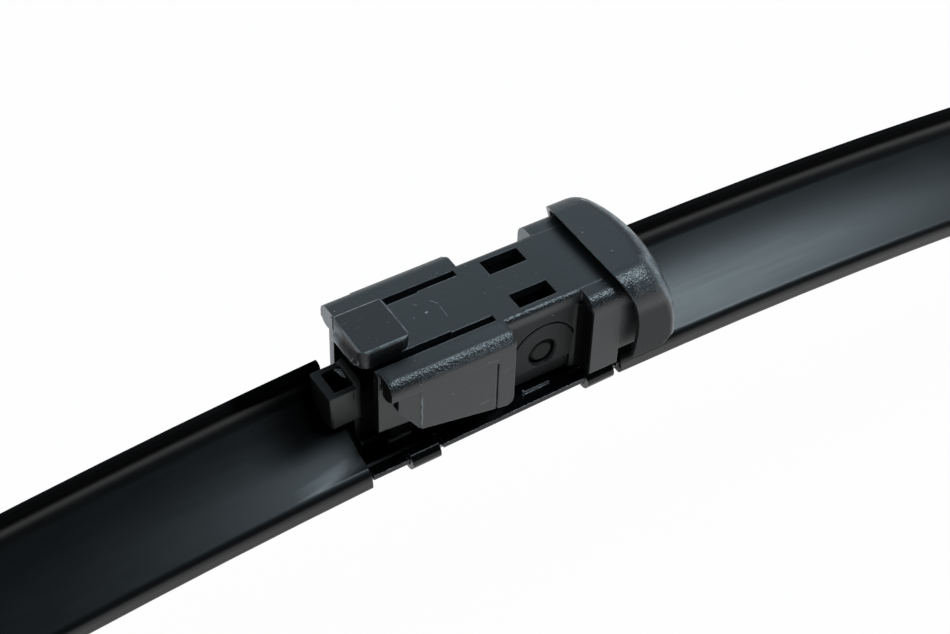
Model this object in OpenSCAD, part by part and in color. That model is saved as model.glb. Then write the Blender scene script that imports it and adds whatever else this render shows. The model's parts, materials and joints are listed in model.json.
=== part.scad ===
// Flat wiper blade with a push-button arm adapter.
// X runs along the blade, Y across it, Z up and away from the glass.
// The origin is the middle of the pivot pin. Heights are given above the bracket's flange.

/* [Blade] */
// Length of the blade along its bow, tip to tip
blade_l = 400; // [300:10:650]
// Radius of the free bow
bow_r = 612; // [560:4:900]
// Swivel of the blade on its pin, right side up, in degrees
blade_tilt = 1.9; // [1.2:0.1:2.2]

/* [Flexor strips] */
// Width of one spring-steel strip
flexor_w = 5.8; // [5.4:0.1:6]
// Thickness of a strip
flexor_t = 0.7; // [0.5:0.05:0.8]
// Gap between the two strips, where the rubber's neck stands
flexor_gap = 2.6; // [2.2:0.1:3]

/* [Rubber] */
// Width of the rubber's upper lobe
lobe_w = 4; // [3.6:0.1:4.2]
// Width of the wiping body under the strips
rubber_body_w = 5.2; // [4:0.1:6]
// Depth of the wiping edge below the flange
rubber_depth = 10.2; // [9:0.1:13]
// Thickness of the wiping edge
lip_t = 0.8; // [0.5:0.1:1.2]
// Height of the upper lobe above the flange
lobe_top = 0.5; // [0.3:0.1:0.6]
// Width of the lower lobe under the strips
low_lobe_w = 6.4; // [5.6:0.1:6.8]
// Depth of the lower lobe
low_lobe_h = 1.7; // [1.4:0.1:2]
// Thickness of the hinge web between the lobe and the wiping body
web_t = 1.1; // [0.8:0.1:1.4]
// Height of the hinge web
web_h = 1; // [0.8:0.1:1.4]
// Height of the thin wiping edge
lip_h = 1.4; // [1:0.1:2]

/* [Spoiler] */
// Wall of the spoiler outside the strips' edges
spoiler_wall = 0.9; // [0.7:0.1:1.1]
// Height of the fin's tip above the flange
fin_h = 9.6; // [9.2:0.1:9.8]
// Thickness of the fin
fin_t = 1.3; // [1:0.1:1.6]
// Radius of the long concave face
foil_r = 30; // [28:1:32]
// Skin between the concave face and the air duct
skin_t = 1.1; // [0.9:0.1:1.3]

/* [Bracket] */
// Length of the steel bracket's flange
bracket_l = 34.2; // [33:0.2:35]
// Middle of the bracket, measured from the pivot pin
bracket_mid = -7.35; // [-8:0.05:-7]
// Thickness of the bracket's sheet
sheet_t = 0.7; // [0.6:0.05:0.8]
// Width of the flange
flange_w = 15.6; // [15:0.1:16]
// Length of each rolled claw
claw_l = 3.9; // [3:0.1:4.3]
// From the flange's left end to the middle of the left claws
claw_left_in = 7.05; // [6:0.05:8.5]
// From the flange's right end to the middle of the right claws
claw_right_in = 2.65; // [2.4:0.05:3.6]
// Clear width between the upright cheeks
cheek_gap = 4.4; // [4.3:0.1:4.6]
// Length of the cheeks
cheek_l = 20; // [14:0.5:22]

/* [Pin] */
// Diameter of the pivot pin
pin_d = 3.5; // [3:0.1:4]
// Height of the pin's axis above the flange
pin_z = 5.3; // [5:0.1:5.6]
// Radial clearance of the adapter on the pin
pin_fit = 0.08; // [0.03:0.01:0.1]

/* [Joint block] */
// Width of the block between the adapter's walls
block_w = 8.4; // [8:0.1:8.6]
// From the flange's right end back to the block's right end
block_in = 1.75; // [1.5:0.05:3]
// From the flange's left end in to the block's wide body
block_left_in = 4.45; // [3.5:0.05:5]
// Height of the block above the flange
block_h = 9.1; // [9.1:0.1:9.6]
// Reach of the hollow nose over the left spoiler
nose_over = 2.35; // [1.8:0.05:2.6]
// Length of the nose
nose_l = 4.2; // [3.8:0.1:4.4]
// Width of the nose
nose_w = 4.9; // [4.4:0.1:5.2]
// Height of the nose's rim above the flange
nose_top = 9.3; // [9.1:0.1:9.4]
// Wall of the nose
nose_wall = 1.1; // [0.8:0.1:1.3]

/* [Adapter] */
// Height of the top plate above the flange
plate_z = 13; // [12.9:0.05:13.4]
// Thickness of the plate and of the wings' tops
plate_t = 1.3; // [1.1:0.05:1.4]
// Width over the narrow middle
middle_w = 11.5; // [11.2:0.1:11.8]
// Thickness of the side walls
wall_t = 1.1; // [0.9:0.05:1.2]
// Width over the two wings
wing_w = 16.6; // [16:0.1:17.4]
// Length of the wings
wing_l = 16.6; // [16:0.1:17]
// Radius of the wings' crests
crest_r = 1.5; // [1:0.1:1.8]
// Width of the wide section
wide_w = 16.4; // [16:0.1:16.8]
// Left face of the wide section, measured from the pivot pin
wide_x = 5.1; // [5:0.1:5.6]
// Width of a plate hole
hole_w = 2.5; // [1.5:0.1:2.6]
// Length of a plate hole
hole_l = 5.2; // [3:0.1:6]

/* [Hood] */
// Gap between the plate and the hood, for the arm's sheet
arm_gap = 0.85; // [0.7:0.05:1]
// Thickness of the hood
hood_t = 0.6; // [0.5:0.05:0.8]
// Length of the hood along the middle of its crown
hood_l = 6.2; // [5:0.1:6.6]
// Radius of the hood's shoulders
hood_r = 3.8; // [3:0.1:4.2]
// Rounding of the hood's right rim
hood_rim_r = 1.1; // [0.6:0.1:1.2]

/* [Release button] */
// Reach of the pad past the wings' left ends
pad_over = 1.3; // [0.8:0.1:1.5]
// Length of the push pad
pad_l = 6.7; // [5:0.1:7.4]
// Width of the push pad
pad_w = 7.3; // [6:0.1:7.4]
// Height of the pad above the plate
pad_h = 1.9; // [1.4:0.1:2.2]
// Depth of the pad's skirt
skirt_h = 2.5; // [2.1:0.1:2.6]
// Width of the springy tongue
tongue_w = 7.8; // [6.6:0.1:8]
// Width of the slot along the tongue
slot_w = 0.95; // [0.6:0.05:1]

/* [End caps] */
// Length of an end cap
cap_l = 14; // [10:0.5:20]
// Wall of an end cap
cap_wall = 0.9; // [0.7:0.1:1.2]

/* [Hidden] */
$fn = 48;
slip = 0.04;
eps = 0.01;
step_deg = 2.5;

half_l = blade_l / 2;
bracket_x0 = bracket_mid - bracket_l / 2;
bracket_x1 = bracket_mid + bracket_l / 2;
end_gap = 0.3;
tip_in = 1.8;

flexor_in = flexor_gap / 2;
flexor_out = flexor_in + flexor_w;
flexor_top = -sheet_t;
flexor_bottom = flexor_top - flexor_t;

neck_half = flexor_in - 0.15;
low_lobe_bottom = flexor_bottom - low_lobe_h;
body_top = low_lobe_bottom - web_h;
rubber_outline = [
    [lobe_w / 2 - 0.4, lobe_top], [lobe_w / 2, lobe_top - 0.4], [lobe_w / 2, flexor_top + slip],
    [neck_half, flexor_top + slip], [neck_half, flexor_bottom - slip],
    [low_lobe_w / 2, flexor_bottom - slip], [low_lobe_w / 2, low_lobe_bottom + 0.5],
    [low_lobe_w / 2 - 0.5, low_lobe_bottom], [web_t / 2, low_lobe_bottom],
    [web_t / 2, body_top + 0.2], [rubber_body_w / 2, body_top], [rubber_body_w / 2, body_top - 0.6],
    [lip_t / 2 + 0.25, lip_h + 0.8 - rubber_depth], [lip_t / 2, lip_h - rubber_depth],
    [lip_t / 2, -rubber_depth]];

spoiler_half = flexor_out + spoiler_wall;
spoiler_bottom = flexor_bottom - 0.5;
bead_r = 1.5;
bead_z = -0.3;
corner_r = 0.7;
foil_start = 20;
foil_turn = 40;
fin_root_r = 3;
duct_floor = 0.3;

bead_start = [-spoiler_half + bead_r, bead_z] + bead_r * [-sin(foil_start), cos(foil_start)];
foil_c = bead_start + foil_r * [-sin(foil_start), cos(foil_start)];
fin_c = foil_c + (foil_r - fin_root_r) * [sin(foil_turn), -cos(foil_turn)];
fin_near = fin_c[0] + fin_root_r;
fin_far = fin_near + fin_t;
back_r = (spoiler_half - bead_r + bead_r * sin(foil_start) - fin_far) / (1 - sin(foil_start));
back_c = [fin_far + back_r, bead_z + (bead_r + back_r) * cos(foil_start)];

plate_under = plate_z - plate_t;
middle_half = middle_w / 2;
wall_in = middle_half - wall_t;
wing_half = wing_w / 2;
wing_x1 = -5.5;
wing_x0 = wing_x1 - wing_l;
wall_x0 = wing_x0 - 0.3;
panel_t = 1.25;
panel_step = 0.15;
rim_solid = 2.1;
bead_low = 10.6;
wide_half = wide_w / 2;
wide_r = 1.75;
wide_side_x = 9.3;
wide_low = 1.1;
wide_right_low = 3.1;
wide_reach = 5.1;
wide_drop = 0.06;
wide_wall = 1.3;
wide_face_t = 1.2;
hood_low = 2.5;
hood_in = wide_half + arm_gap;
hood_half = hood_in + hood_t;
hood_top = plate_z + arm_gap + hood_t;
hood_x0 = 8.8;
hood_lean = 2.3;
hood_left_r = 14.5;
hood_left_z = 6.5;
hood_bulge_x0 = hood_x0 + hood_lean;
dome_r = 15.4;
dome_plan_r = 22;
dome_z = 4;
dome_x = hood_x0 + hood_l + dome_r - sqrt(pow(dome_r, 2) - pow(hood_top - dome_z, 2));
end_wall_t = 1.2;
rib_in = 8.9;
opening_top = plate_under - 0.25;

root_x = -6.2;
pad_x0 = wing_x0 - pad_over;
pad_x1 = pad_x0 + pad_l;
pad_top = plate_z + pad_h;
pad_r = 1.3;

block_half = block_w / 2;
block_x0 = bracket_x0 + block_left_in;
block_x1 = bracket_x1 - block_in;
cheek_half = cheek_gap / 2;
cheek_mid = -4;
hat_top = 8.3;
nose_x0 = bracket_x0 - nose_over;
nose_x1 = nose_x0 + nose_l;
nose_under = 4.3;
foot_h = 0.6;
foot_half = 3;
foot_x0 = bracket_x0 + 1;

claw_xs = [bracket_x0 + claw_left_in, bracket_x1 - claw_right_in];

// Points of an arc about c, from angle a0 to angle a1
function arc(c, r, a0, a1) =
    let (n = max(2, ceil(abs(a1 - a0) / step_deg)))
    [for (i = [0:n]) let (a = a0 + (a1 - a0) * i / n) c + r * [cos(a), sin(a)]];

// Drop of the bowed blade below the flange's plane, at x from the pivot pin
function bow_drop(x) = bow_r - sqrt(pow(bow_r, 2) - pow(x - bracket_mid, 2));

// Outline of the spoiler's section, grown outwards by g
function spoiler_outline(g) = concat(
    arc([-spoiler_half + corner_r, spoiler_bottom + corner_r], corner_r + g, 270, 180),
    arc([-spoiler_half + bead_r, bead_z], bead_r + g, 180, 90 + foil_start),
    arc(foil_c, foil_r - g, foil_start - 90, foil_turn - 90),
    arc(fin_c, fin_root_r - g, foil_turn - 90, 0),
    arc([fin_near + fin_t / 2, fin_h - fin_t / 2], fin_t / 2 + g, 180, 0),
    arc(back_c, back_r - g, 180, 270 - foil_start),
    arc([spoiler_half - bead_r, bead_z], bead_r + g, 90 - foil_start, 0),
    arc([spoiler_half - corner_r, spoiler_bottom + corner_r], corner_r + g, 0, -90));

// Air duct under the concave face
function duct_outline() = concat(
    arc(foil_c, foil_r + skin_t, foil_start - 86, foil_turn - 92),
    arc(back_c, back_r + skin_t, 192, 236),
    [[back_c[0] + (back_r + skin_t) * cos(236), duct_floor],
     [foil_c[0] + (foil_r + skin_t) * sin(foil_start + 4), duct_floor]]);

// Puts what is drawn above the flange in its place under the arm
module on_arm() {
    translate([0, 0, -pin_z]) children();
}

// The same for what hangs on the pin, turned to the way it hangs
module on_blade() {
    rotate([0, -blade_tilt, 0]) translate([0, 0, -pin_z]) children();
}

// Sweeps a section drawn in Y and Z along the bow, between two places on the blade
module along_bow(from, to) {
    deg = 180 / PI / bow_r;
    translate([bracket_mid, 0, -bow_r])
        rotate([90, 0, 0]) rotate([0, 0, 90 - to * deg])
        rotate_extrude(angle = (to - from) * deg, $fn = 720)
        translate([bow_r, 0]) rotate(-90) children();
}

module along_x(x0, x1) {
    translate([x0, 0, 0]) rotate([90, 0, 90]) linear_extrude(x1 - x0) children();
}

module along_y(y0, y1) {
    translate([0, y1, 0]) rotate([90, 0, 0]) linear_extrude(y1 - y0) children();
}

// Both sides of what is drawn on the far side
module both_sides() {
    children();
    mirror([0, 1, 0]) children();
}

// Block between two corners
module box(a, b) {
    translate(a) cube(b - a);
}

// Upright section with rounded upper corners
module roof(half, top, r, low) {
    translate([-half, low]) square([2 * half, top - r - low]);
    translate([-half + r, low]) square([2 * (half - r), top - low]);
    for (s = [-1, 1]) translate([s * (half - r), top - r]) circle(r);
}

// Rectangle with round corners
module rounded_plan(x0, x1, half, r) {
    translate([x0 + r, -half]) square([x1 - x0 - 2 * r, 2 * half]);
    translate([x0, -half + r]) square([x1 - x0, 2 * (half - r)]);
    for (x = [x0 + r, x1 - r], s = [-1, 1]) translate([x, s * (half - r)]) circle(r);
}

module wiper_rubber() {
    rubber_end = 0.5;
    last = len(rubber_outline) - 1;
    color("#1b1b1d") on_blade() along_bow(-half_l + rubber_end, half_l - rubber_end)
        polygon(concat(rubber_outline, [for (i = [last:-1:0]) [-rubber_outline[i][0], rubber_outline[i][1]]]));
}

module flexor(side) {
    edge = flexor_t / 2;
    color("#3a3b3e") on_blade() along_bow(-half_l + tip_in, half_l - tip_in)
        mirror([side > 0 ? 0 : 1, 0]) {
            translate([flexor_in, flexor_bottom]) square([flexor_w - edge, flexor_t]);
            translate([flexor_out - edge, flexor_bottom + edge]) circle(edge);
        }
}

module spoiler_section() {
    lip_in = flexor_out - 2.1;
    difference() {
        polygon(spoiler_outline(0));
        polygon(duct_outline());
        translate([-lobe_w / 2 - 0.3, spoiler_bottom - 1]) square([lobe_w + 0.6, 0.9 - spoiler_bottom + 1]);
        translate([-flexor_out - slip, flexor_bottom - slip])
            square([2 * (flexor_out + slip), flexor_t + 2 * slip]);
        translate([-lip_in, spoiler_bottom - 1]) square([2 * lip_in, flexor_bottom - spoiler_bottom + 1]);
    }
}

module spoiler_left() {
    color("#232427") on_blade() difference() {
        along_bow(-half_l + tip_in, bracket_x0 - bracket_mid - end_gap) spoiler_section();
        box([nose_x0 - end_gap, -nose_w / 2 - end_gap, nose_under - end_gap],
            [bracket_x0 + 1, nose_w / 2 + end_gap, fin_h + 1]);
    }
}

module spoiler_right() {
    color("#2a2c30") on_blade()
        along_bow(bracket_x1 - bracket_mid + end_gap, half_l - tip_in) spoiler_section();
}

// End cap at the far end of the side that s gives
module end_cap(s) {
    gap = 0.1;
    open_half = 3.5;
    color("#1e1f22") on_blade() translate([bracket_mid, 0, 0]) mirror([s > 0 ? 0 : 1, 0, 0])
        translate([-bracket_mid, 0, 0]) difference() {
            along_bow(half_l - cap_l, half_l) polygon(spoiler_outline(cap_wall));
            along_bow(half_l - cap_l - 1, half_l - 1.5) polygon(spoiler_outline(gap));
            along_bow(half_l - cap_l - 1, half_l + 1)
                translate([-open_half, -rubber_depth]) square([2 * open_half, rubber_depth + flexor_bottom]);
            along_bow(half_l - 2, half_l + 1)
                translate([-lobe_w / 2 - gap, -2]) square([lobe_w + 2 * gap, 2.7]);
        }
}

// Rolled claw that grips a strip's edge, on the far side
module claw(x) {
    room = 0.1;
    r_in = flexor_t / 2 + 2 * room;
    r_out = r_in + sheet_t;
    roll_y = flexor_out - flexor_t / 2;
    roll_z = flexor_top - flexor_t / 2 - room - bow_drop(x);
    along_x(x - claw_l / 2, x + claw_l / 2) {
        difference() {
            translate([roll_y, roll_z]) circle(r_out);
            translate([roll_y, roll_z]) circle(r_in);
            translate([roll_y - 2 * r_out, roll_z - 2 * r_out]) square([2 * r_out, 4 * r_out]);
        }
        translate([roll_y - 1.5, roll_z + r_in]) square([1.5 + eps, sheet_t]);
        translate([roll_y - 1.2, roll_z - r_out]) square([1.2 + eps, sheet_t]);
    }
}

module bracket() {
    relief = 0.4;
    half = flange_w / 2;
    tab_in = 1.65;
    tab_t = 0.2;
    cheek_x0 = cheek_mid - cheek_l / 2;
    cheek_x1 = cheek_mid + cheek_l / 2;
    out = cheek_half + sheet_t;
    color("#101113") on_blade() {
        difference() {
            union() {
                box([bracket_x0, -half, -sheet_t], [bracket_x1, half, 0]);
                box([cheek_x0, -out, -sheet_t], [cheek_x1, out, hat_top]);
            }
            box([bracket_x0 - 1, -cheek_half, -2], [bracket_x1 + 1, cheek_half, 0.9]);
            box([cheek_x0 - 1, -cheek_half, 0], [cheek_x1 + 1, cheek_half, hat_top - sheet_t]);
            translate([0, out + 1, pin_z]) rotate([90, 0, 0]) cylinder(d = pin_d, h = 2 * out + 2);
            both_sides() for (x = claw_xs)
                box([x - claw_l / 2 - relief, flexor_out - 1.2, -2], [x + claw_l / 2 + relief, half + 1, 1]);
        }
        both_sides() for (x = claw_xs) claw(x);
        both_sides() {
            box([-2.9, half - tab_in - tab_t, -eps], [0.8, half - tab_in, 0.3]);
            box([-3.1, half - tab_in - tab_t, -eps], [-2.8, half - tab_in, 0.6]);
        }
    }
}

module joint_block() {
    fit = 0.02;
    boss_half = wall_in - 0.1;
    hat_half = cheek_half + sheet_t + fit;
    cheek_x0 = cheek_mid - cheek_l / 2 - fit;
    cheek_x1 = cheek_mid + cheek_l / 2 + fit;
    color("#1a1b1e") on_blade() difference() {
        union() {
            along_x(block_x0, block_x1) roof(block_half, block_h, 1, fit);
            box([foot_x0, -foot_half, fit], [block_x0 + 1, foot_half, foot_h]);
            box([nose_x1 - 1, -2, fit], [block_x0 + 1, 2, nose_under + 3.5]);
            nose();
            translate([0, boss_half, pin_z]) rotate([90, 0, 0]) cylinder(r = 4.3, h = 2 * boss_half);
        }
        translate([0, 0, nose_under + 1.4]) linear_extrude(9)
            rounded_plan(nose_x0 + nose_wall, nose_x1 - nose_wall / 2, nose_w / 2 - nose_wall + 0.35, 0.2);
        box([cheek_x0, -hat_half, -1], [cheek_x1, hat_half, hat_top + fit]);
        box([foot_x0 - 1, -lobe_w / 2 - 0.1, -1], [block_x1 + 1, lobe_w / 2 + 0.1, 0.6]);
        translate([0, boss_half + 1, pin_z]) rotate([90, 0, 0]) cylinder(d = pin_d, h = 2 * boss_half + 2);
    }
}

// Hollow nose that holds the left spoiler's end down
module nose() {
    rise = 0.8;
    difference() {
        translate([0, 0, nose_under]) linear_extrude(nose_top + rise - nose_under)
            rounded_plan(nose_x0, nose_x1, nose_w / 2, 0.35);
        box([nose_x0 - 1, -nose_w, nose_top], [nose_x1 - rise + eps, nose_w, nose_top + 2]);
        translate([nose_x1 - rise, nose_w, nose_top + rise]) rotate([90, 0, 0])
            cylinder(r = rise, h = 2 * nose_w);
    }
}

module pivot_pin() {
    half = middle_half - 0.3;
    chamfer = 0.5;
    color("#26272a") on_blade() {
        translate([0, half - chamfer, pin_z]) rotate([90, 0, 0]) cylinder(d = pin_d, h = 2 * (half - chamfer));
        both_sides() translate([0, half - chamfer, pin_z]) rotate([-90, 0, 0])
            cylinder(r1 = pin_d / 2, r2 = pin_d / 2 - chamfer, h = chamfer);
    }
}

// Lower edge of the walls and of the wings' panels, seen from the side
module walls_side() {
    polygon([[wall_x0, 3.7], [wall_x0 + 3.9, 3.4], [wing_x1, 0.9], [wide_x + 1, 0.9],
             [wide_x + 1, plate_z + 1], [wall_x0, plate_z + 1]]);
}

module panel_side() {
    x0 = wing_x0 + 1.1;
    x1 = wing_x1 - 0.1;
    top = plate_under + 0.5;
    left_low = 8.3;
    knee = [x0 + 3.25, 5.35];
    right_low = 2.05;
    corner = 1;
    steep = 214;
    shallow = 258;
    polygon(concat([[x0, top], [x0, left_low]],
        arc(knee, corner, steep, shallow),
        arc([x1 - corner, right_low + corner], corner, shallow, 360), [[x1, top]]));
}

// One wing, on the far side: a rim over an upright panel
module wing() {
    rim_in = tongue_w / 2 + slot_w;
    crease_x = wing_x0 + 3.9;
    slot_x = wing_x1 - 2.65;
    slant = 0.55;
    low_r = panel_step;
    intersection() {
        along_x(wing_x0, wing_x1) difference() {
            union() {
                translate([rim_in, plate_under]) square([wing_half - crest_r - rim_in, plate_t]);
                translate([wing_half - crest_r, plate_z - crest_r]) circle(crest_r);
                translate([wing_half - crest_r, bead_low + low_r])
                    square([crest_r, plate_z - crest_r - bead_low - low_r]);
                translate([wing_half - low_r, bead_low + low_r]) circle(low_r);
                translate([wing_half - crest_r, bead_low]) square([crest_r - low_r, 1]);
            }
            translate([rim_in, bead_low - 1])
                square([wing_half - rim_solid - rim_in, plate_under - bead_low + 1]);
        }
        translate([0, 0, bead_low - 1]) linear_extrude(plate_z)
            rounded_plan(wing_x0 - 4, wing_x1, wing_half, crest_r);
    }
    intersection() {
        along_y(0, wing_half) panel_side();
        linear_extrude(plate_z) polygon([
            [wing_x0, wing_half - slant], [crease_x, wing_half - panel_step], [crease_x, wing_half],
            [wing_x1, wing_half], [wing_x1, wing_half - panel_t], [crease_x, wing_half - panel_t],
            [wing_x0, wing_half - slant - panel_t]]);
        difference() {
            box([wing_x0, 0, 0], [wing_x1, wing_half + 1, plate_z]);
            box([slot_x, wing_half - 0.3, 1], [slot_x + 0.3, wing_half + 2, 9.8]);
        }
    }
}

// Domed right end of the hood, curved in plan and from the side, set back by inset
module hood_dome(inset) {
    low_chamfer = 0.9;
    translate([dome_x - dome_plan_r, 0, dome_z]) rotate_extrude() difference() {
        intersection() {
            translate([dome_plan_r - dome_r, 0]) circle(dome_r - inset);
            translate([0, hood_low - dome_z]) square([dome_plan_r, hood_top + 1 - hood_low]);
        }
        translate([dome_plan_r - inset - low_chamfer, hood_low - dome_z]) rotate(-45) square(2 * low_chamfer);
    }
}

// What the swept-back left rim leaves open
module hood_left() {
    translate([hood_bulge_x0 - hood_left_r, hood_left_z]) circle(hood_left_r, $fn = 144);
}

// The hood as a solid block with its right rim rounded
module hood_form() {
    steps = 5;
    hull() for (i = [0:steps]) {
        in = hood_rim_r * (1 - cos(90 * i / steps));
        back = hood_rim_r * (1 - sin(90 * i / steps));
        intersection() {
            along_x(hood_x0 - 1, dome_x + 1) roof(hood_half - in, hood_top - in, hood_r - in, 0, $fn = 64);
            hood_dome(back, $fn = 96);
        }
    }
}

module hood() {
    difference() {
        hood_form();
        intersection() {
            along_x(hood_x0 - 3, dome_x) roof(hood_in, hood_top - hood_t, hood_r - hood_t, -1);
            union() {
                hood_dome(end_wall_t, $fn = 96);
                box([hood_x0 - 4, -hood_half, 0], [hood_x0 + 2, hood_half, hood_top]);
                box([hood_x0 - 4, -hood_half, 0], [hood_x0 + 4, hood_half, hood_low + 1]);
            }
        }
        along_x(hood_x0 - 3, dome_x + 2) roof(rib_in, opening_top, 2.5, -1);
        along_y(-hood_half - 1, hood_half + 1) hood_left();
    }
}

// Wide section under the hood
module wide_section() {
    end_x = hood_x0 + wide_reach;
    top = plate_z - wide_drop;
    side_step = 0.25;
    band = 0.6;
    difference() {
        union() {
            along_x(wide_x, wide_side_x) roof(wide_half, top, wide_r, wide_low);
            along_x(wide_side_x - eps, end_x)
                roof(wide_half - side_step, top, wide_r - side_step, wide_right_low);
            along_x(wide_side_x - eps, end_x) intersection() {
                roof(wide_half, top, wide_r, wide_right_low);
                translate([-wide_half, top - wide_r - band]) square([2 * wide_half, wide_r + band]);
            }
            box([wide_x, -middle_half + 0.5, plate_under], [end_x, middle_half - 0.5, plate_z]);
        }
        along_x(wide_x + wide_face_t, end_x + 1) roof(wide_half - wide_wall, plate_under, 0.5, -1);
        along_x(wide_x - 1, end_x + 1) roof(wall_in, plate_under, 0.3, -1);
    }
}

module adapter() {
    corner_r_in = 1.2;
    hole_x0 = -2.8;
    hole_y = wall_in - 0.15 - hole_w;
    rim_bevel = 0.35;
    ring_r = 4.5;
    ring_w = 0.3;
    color("#3b3e44") on_arm() difference() {
        union() {
            intersection() {
                along_x(wall_x0, wide_x + 0.5) difference() {
                    roof(middle_half, plate_z, 0.8, 0);
                    roof(wall_in, plate_under, 0.3, -1);
                }
                along_y(-middle_half, middle_half) walls_side();
            }
            both_sides() wing();
            wide_section();
            hood();
            both_sides() difference() {
                box([wide_x - corner_r_in, middle_half - eps, wide_low],
                    [wide_x + eps, middle_half + corner_r_in, plate_z - wide_r]);
                translate([wide_x - corner_r_in, middle_half + corner_r_in, 0])
                    cylinder(r = corner_r_in, h = plate_z);
            }
        }
        box([-30, -tongue_w / 2 - slot_w, plate_under - 0.3], [root_x, tongue_w / 2 + slot_w, plate_z + 1]);
        both_sides() box([hole_x0, hole_y, plate_under - 1], [hole_x0 + hole_l, hole_y + hole_w, plate_z + 1]);
        translate([0, middle_half + 1, pin_z]) rotate([90, 0, 0])
            cylinder(r = pin_d / 2 + pin_fit, h = middle_w + 2);
        both_sides() translate([0, middle_half - 0.3, pin_z]) rotate([-90, 0, 0])
            cylinder(r1 = pin_d / 2 + pin_fit, r2 = pin_d / 2 + pin_fit + rim_bevel, h = rim_bevel);
        both_sides() along_y(middle_half - 0.35, middle_half + 1) translate([0, pin_z]) intersection() {
            difference() {
                circle(ring_r + ring_w / 2);
                circle(ring_r - ring_w / 2);
            }
            translate([-5, -0.2]) square([9.3, 6]);
        }
        both_sides() box([wing_x1 - eps, middle_half - 0.5, 0], [wide_x - corner_r_in, middle_half + 1, 3.2]);
    }
}

module release_button() {
    narrow = tongue_w / 2 - 0.2;
    step_x = -11.7;
    lip_r = 0.5;
    lip_half = pad_w / 2 - pad_r;
    color("#41444a") on_arm() {
        translate([0, 0, plate_under]) linear_extrude(plate_t) {
            rounded_plan(pad_x1 - 2, step_x + 1, narrow, 0.8);
            translate([step_x, -tongue_w / 2]) square([root_x - step_x, tongue_w]);
        }
        difference() {
            intersection() {
                translate([0, 0, pad_top - skirt_h]) linear_extrude(skirt_h)
                    rounded_plan(pad_x0, pad_x1, pad_w / 2, pad_r);
                along_x(pad_x0 - 1, pad_x1 + 1) roof(pad_w / 2, pad_top, 0.45, 0);
                along_y(-pad_w, pad_w) translate([(pad_x0 + pad_x1) / 2, 0]) roof(pad_l / 2, pad_top, 0.45, 0);
            }
            box([pad_x0 + 1.1, -pad_w / 2 + 1.1, 0], [pad_x1 - 1.4, pad_w / 2 - 1.1, pad_top - 1.1]);
        }
        translate([pad_x0, 0, pad_top - skirt_h + lip_r]) {
            translate([0, lip_half, 0]) rotate([90, 0, 0]) cylinder(r = lip_r, h = 2 * lip_half);
            both_sides() translate([0, lip_half, 0]) sphere(lip_r);
        }
    }
}

wiper_rubber();
flexor(-1);  // flexor_near
flexor(1);  // flexor_far
spoiler_left();
spoiler_right();
end_cap(-1);  // end_cap_left
end_cap(1);  // end_cap_right
bracket();
joint_block();
pivot_pin();
adapter();
release_button();
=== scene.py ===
"""Looks of a flat wiper blade with a push-button arm adapter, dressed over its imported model."""

import json
import math

import bmesh
import bpy
from bpy.props import FloatProperty, FloatVectorProperty, IntProperty, PointerProperty
from mathutils import Matrix, Vector


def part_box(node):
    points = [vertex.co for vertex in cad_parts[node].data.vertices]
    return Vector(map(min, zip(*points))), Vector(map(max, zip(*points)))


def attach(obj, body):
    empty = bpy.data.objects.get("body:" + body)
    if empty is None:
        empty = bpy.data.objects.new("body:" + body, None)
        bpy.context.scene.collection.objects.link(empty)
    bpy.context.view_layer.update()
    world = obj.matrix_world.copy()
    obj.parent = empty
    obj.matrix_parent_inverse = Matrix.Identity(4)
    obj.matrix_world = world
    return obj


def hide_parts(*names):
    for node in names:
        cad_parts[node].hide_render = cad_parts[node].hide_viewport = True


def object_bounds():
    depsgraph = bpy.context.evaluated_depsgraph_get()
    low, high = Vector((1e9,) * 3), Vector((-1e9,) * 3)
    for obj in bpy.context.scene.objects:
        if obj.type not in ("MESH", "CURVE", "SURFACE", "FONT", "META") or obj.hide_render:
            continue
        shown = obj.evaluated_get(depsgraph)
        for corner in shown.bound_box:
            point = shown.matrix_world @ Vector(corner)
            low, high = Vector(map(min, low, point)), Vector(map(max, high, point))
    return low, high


bl_info = {
    "name": "Wiper Blade Looks",
    "version": (1, 0, 0),
    "blender": (4, 5, 0),
    "location": "3D View > Sidebar > Wiper Blade",
    "description": "Dresses a wiper blade and its arm adapter in moulded plastic, rubber and painted steel",
    "category": "Object",
}

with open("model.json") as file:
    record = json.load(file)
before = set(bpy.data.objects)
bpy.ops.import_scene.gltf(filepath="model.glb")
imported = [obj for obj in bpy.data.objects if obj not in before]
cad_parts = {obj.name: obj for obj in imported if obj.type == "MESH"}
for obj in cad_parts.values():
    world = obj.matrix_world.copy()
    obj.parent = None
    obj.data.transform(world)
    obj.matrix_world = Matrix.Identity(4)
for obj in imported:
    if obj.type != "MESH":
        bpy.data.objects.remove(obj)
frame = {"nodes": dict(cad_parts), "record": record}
cad_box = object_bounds()
body_of_node = {
    node: body for body, nodes in frame["record"]["behaviour"]["bodies"].items() for node in nodes
}
MM = 0.001
CREASE = math.radians(30)  # sharper edges are rounded, and not shaded smooth
WELD = 0.002 * MM  # corners nearer to each other than this are joined
SEAM_REACH = 0.02 * MM  # corners nearer to a seam's plane than this lie in it
FLOOR_GAP = 0.2 * MM
FLOOR_GLOW = 0.98  # share of the floor's white that doesn't depend on light
BLACK = (0.002, 0.002, 0.002, 1)
WHITE = (1, 1, 1, 1)
# Colour of rubber dust, and of the painted highlight along the spoiler's ridge
RUBBER_DUST_AND_HIGHLIGHT = (0.4, 0.41, 0.42, 1)


def srgb(red, green, blue):
    """Linear colour of a colour given in steps of 255."""
    return tuple(((c / 255 + 0.055) / 1.055) ** 2.4 if c > 10 else c / 255 / 12.92 for c in (red, green, blue))


def colour_property(name, description, default):
    return FloatVectorProperty(
        name=name, description=description, default=default, subtype="COLOR", size=3, min=0, max=1
    )


def length_property(name, description, default):
    return FloatProperty(
        name=name, description=description, default=default, min=0, subtype="DISTANCE", unit="LENGTH",
        precision=6,
    )


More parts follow.
